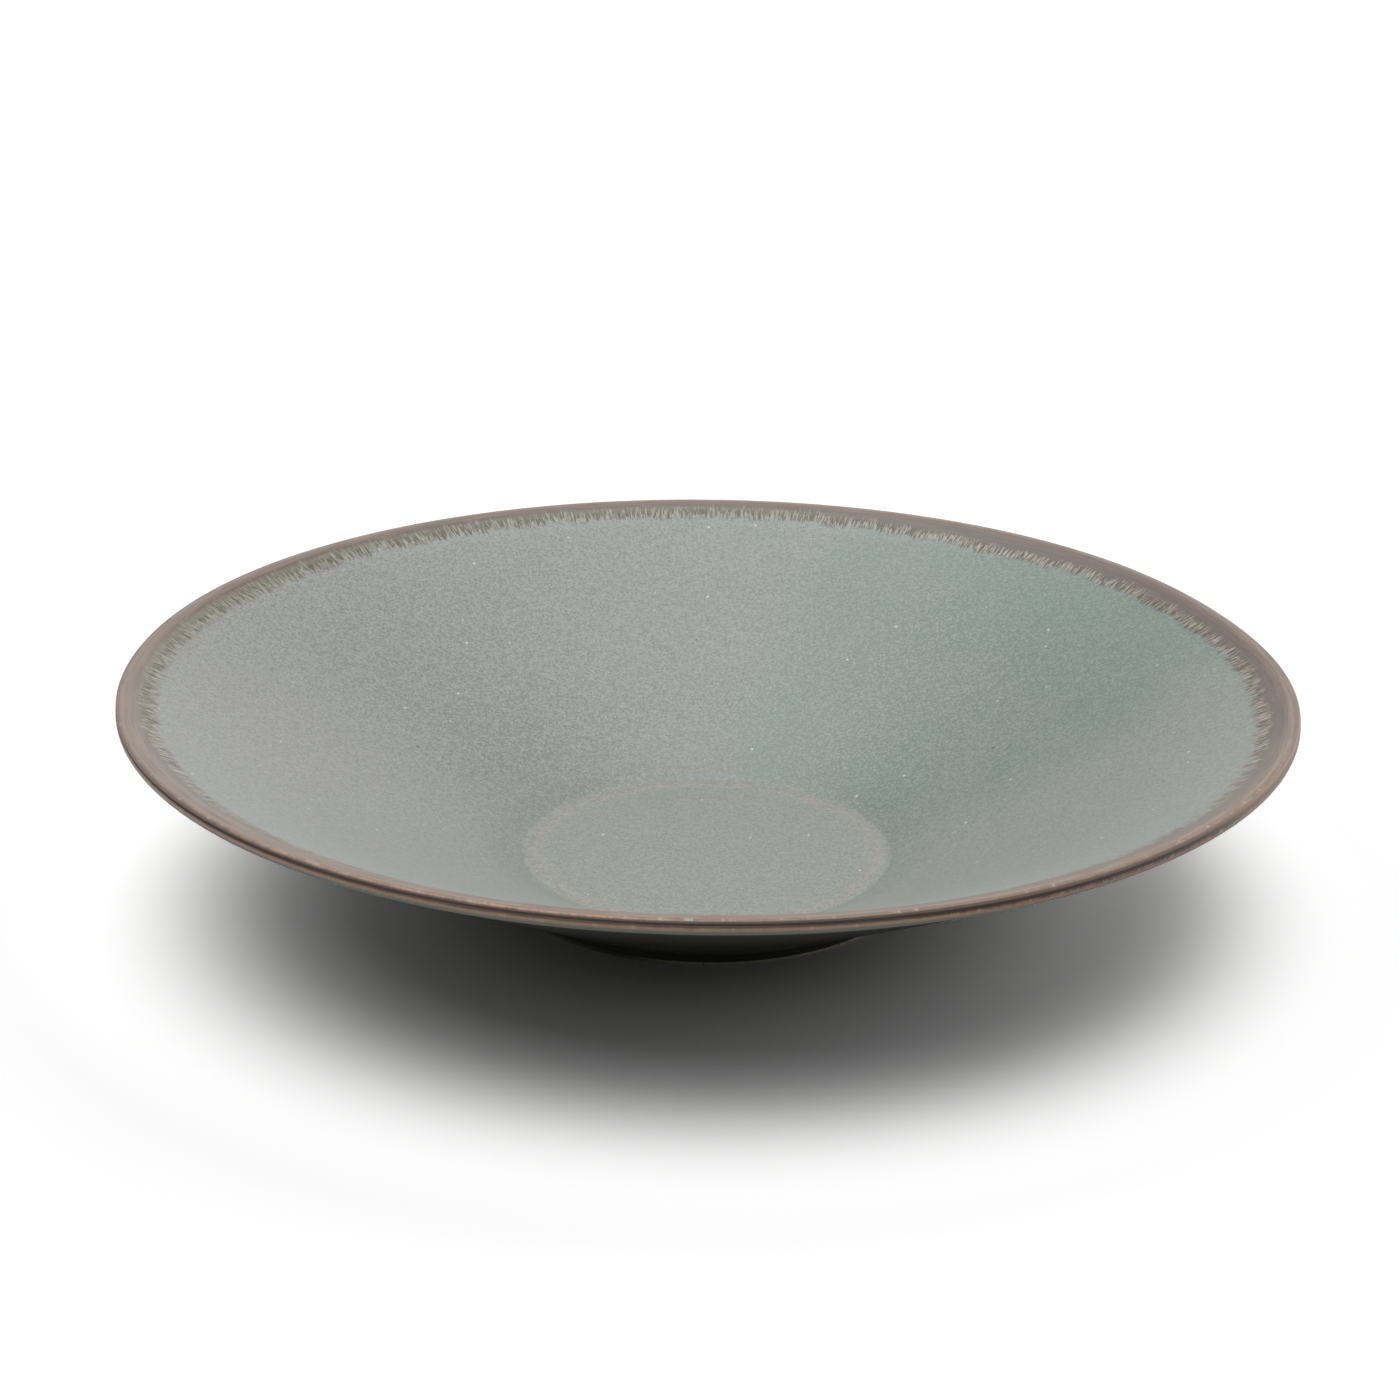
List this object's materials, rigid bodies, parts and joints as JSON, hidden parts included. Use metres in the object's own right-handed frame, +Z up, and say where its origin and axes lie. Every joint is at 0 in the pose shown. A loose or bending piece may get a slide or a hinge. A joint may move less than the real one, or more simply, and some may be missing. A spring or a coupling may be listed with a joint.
{
  "type": "flat bowl",
  "caption": "Wide, shallow stoneware bowl with a straight flaring wall, a raised ring round its flat floor, a rolled lip and a low foot ring, under green and brown glaze.",
  "frame": {"origin": "on the table, at the centre of the foot ring's bearing face", "axes": "+Z up along the bowl's axis of turning; X and Y are free, because the bowl is turned"},
  "size_m": [0.26, 0.26, 0.0495],
  "materials": {
    "stoneware": "bare fired clay, matt",
    "green_glaze": "satin grey-green glaze with fine pale speckle",
    "brown_glaze": "satin iron-brown glaze, paler on its edges, running into the green in fine streaks"
  },
  "bodies": {
    "root": {"clay_body": "stoneware", "foot_ring": "stoneware", "inside_glaze": "green_glaze", "rim_glaze": "brown_glaze", "outside_glaze": "green_glaze", "foot_well_glaze": "green_glaze"}
  },
  "joints": []
}
